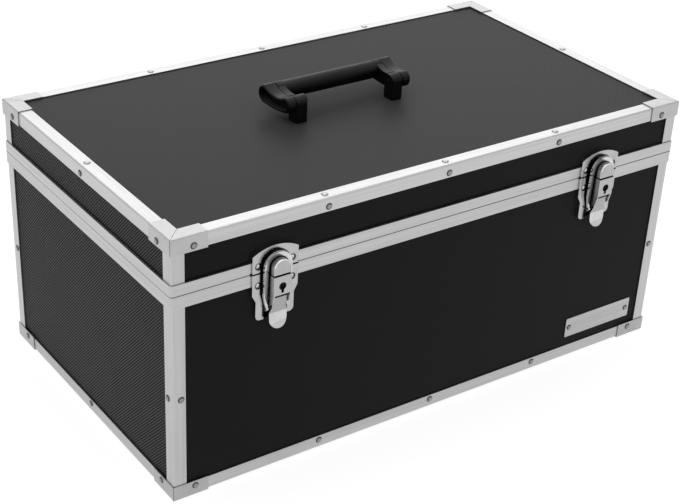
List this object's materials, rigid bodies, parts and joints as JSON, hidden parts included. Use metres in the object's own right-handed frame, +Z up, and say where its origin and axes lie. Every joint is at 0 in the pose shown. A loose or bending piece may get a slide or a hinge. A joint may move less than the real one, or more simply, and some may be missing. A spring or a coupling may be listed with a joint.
{
  "type": "transport case",
  "caption": "Rigid transport case of black panels in aluminium angles, with a hinged lid, lockable draw latches and a folding top handle.",
  "frame": {"origin": "middle of the whole object's footprint, on the surface that the case stands on", "axes": "+X along the length, to the right seen from the latches; +Y from the latches to the hinges; +Z up"},
  "size_m": [0.6422, 0.387, 0.3236],
  "materials": {
    "edge_aluminium": "satin anodised, drawn lengthwise",
    "black_laminate": "black laminate with a fine raised pattern",
    "plated_steel": "nickel plated, satin",
    "black_plastic": "satin moulded black plastic"
  },
  "bodies": {
    "base": {"base_front_panel": "black_laminate", "base_back_panel": "black_laminate", "base_left_panel": "black_laminate", "base_right_panel": "black_laminate", "base_floor_panel": "black_laminate", "base_upright_front_left": "edge_aluminium", "base_upright_front_right": "edge_aluminium", "base_upright_back_left": "edge_aluminium", "base_upright_back_right": "edge_aluminium", "bottom_edge_front": "edge_aluminium", "bottom_edge_back": "edge_aluminium", "bottom_edge_left": "edge_aluminium", "bottom_edge_right": "edge_aluminium", "bottom_bracket_front_left": "edge_aluminium", "bottom_bracket_front_right": "edge_aluminium", "bottom_bracket_back_left": "edge_aluminium", "bottom_bracket_back_right": "edge_aluminium", "base_rim": "edge_aluminium", "name_plate": "edge_aluminium", "latch_plate_left": "plated_steel", "latch_plate_right": "plated_steel", "latch_housing_left": "plated_steel", "latch_housing_right": "plated_steel", "hinge_base_leaf_left": "plated_steel", "hinge_base_leaf_right": "plated_steel", "hinge_pin_left": "plated_steel", "hinge_pin_right": "plated_steel"},
    "lid": {"lid_front_panel": "black_laminate", "lid_back_panel": "black_laminate", "lid_left_panel": "black_laminate", "lid_right_panel": "black_laminate", "lid_top_panel": "black_laminate", "lid_upright_front_left": "edge_aluminium", "lid_upright_front_right": "edge_aluminium", "lid_upright_back_left": "edge_aluminium", "lid_upright_back_right": "edge_aluminium", "top_edge_front": "edge_aluminium", "top_edge_back": "edge_aluminium", "top_edge_left": "edge_aluminium", "top_edge_right": "edge_aluminium", "top_bracket_front_left": "edge_aluminium", "top_bracket_front_right": "edge_aluminium", "top_bracket_back_left": "edge_aluminium", "top_bracket_back_right": "edge_aluminium", "lid_rim": "edge_aluminium", "latch_catch_left": "plated_steel", "latch_catch_right": "plated_steel", "hinge_lid_leaf_left": "plated_steel", "hinge_lid_leaf_right": "plated_steel", "handle_block_left": "black_plastic", "handle_block_right": "black_plastic"},
    "handle": {"handle_grip": "black_plastic", "handle_end_left": "black_plastic", "handle_end_right": "black_plastic"},
    "latch_lever_left": {"latch_lever_left": "plated_steel"},
    "latch_bail_left": {"latch_bail_left": "plated_steel"},
    "lock_plug_left": {"lock_plug_left": "plated_steel"},
    "latch_lever_right": {"latch_lever_right": "plated_steel"},
    "latch_bail_right": {"latch_bail_right": "plated_steel"},
    "lock_plug_right": {"lock_plug_right": "plated_steel"}
  },
  "joints": [
    {"name": "lid_hinge", "type": "hinge", "parent": "base", "child": "lid", "pos_m": [0, 0.19025, 0.2356], "axis": [-1, 0, 0], "range_deg": [0, 100]},
    {"name": "handle_fold", "type": "hinge", "parent": "lid", "child": "handle", "pos_m": [-0.011, -0.0098, 0.3128], "axis": [1, 0, 0], "range_deg": [0, 90]},
    {"name": "latch_left_lever", "type": "hinge", "parent": "base", "child": "latch_lever_left", "pos_m": [-0.2075, -0.18595, 0.2095], "axis": [-1, 0, 0], "range_deg": [0, 100]},
    {"name": "latch_left_bail", "type": "hinge", "parent": "latch_lever_left", "child": "latch_bail_left", "pos_m": [-0.2075, -0.18295, 0.1966], "axis": [-1, 0, 0], "range_deg": [-100, 0]},
    {"name": "lock_left_turn", "type": "hinge", "parent": "base", "child": "lock_plug_left", "pos_m": [-0.2075, -0.18765, 0.2236], "axis": [0, 1, 0], "range_deg": [0, 90]},
    {"name": "latch_right_lever", "type": "hinge", "parent": "base", "child": "latch_lever_right", "pos_m": [0.2075, -0.18595, 0.2095], "axis": [-1, 0, 0], "range_deg": [0, 100]},
    {"name": "latch_right_bail", "type": "hinge", "parent": "latch_lever_right", "child": "latch_bail_right", "pos_m": [0.2075, -0.18295, 0.1966], "axis": [-1, 0, 0], "range_deg": [-100, 0]},
    {"name": "lock_right_turn", "type": "hinge", "parent": "base", "child": "lock_plug_right", "pos_m": [0.2075, -0.18765, 0.2236], "axis": [0, 1, 0], "range_deg": [0, 90]}
  ],
  "couplings": [
    {"joint": "latch_left_bail", "follows": "latch_left_lever", "ratio": -1},
    {"joint": "latch_right_bail", "follows": "latch_right_lever", "ratio": -1}
  ]
}
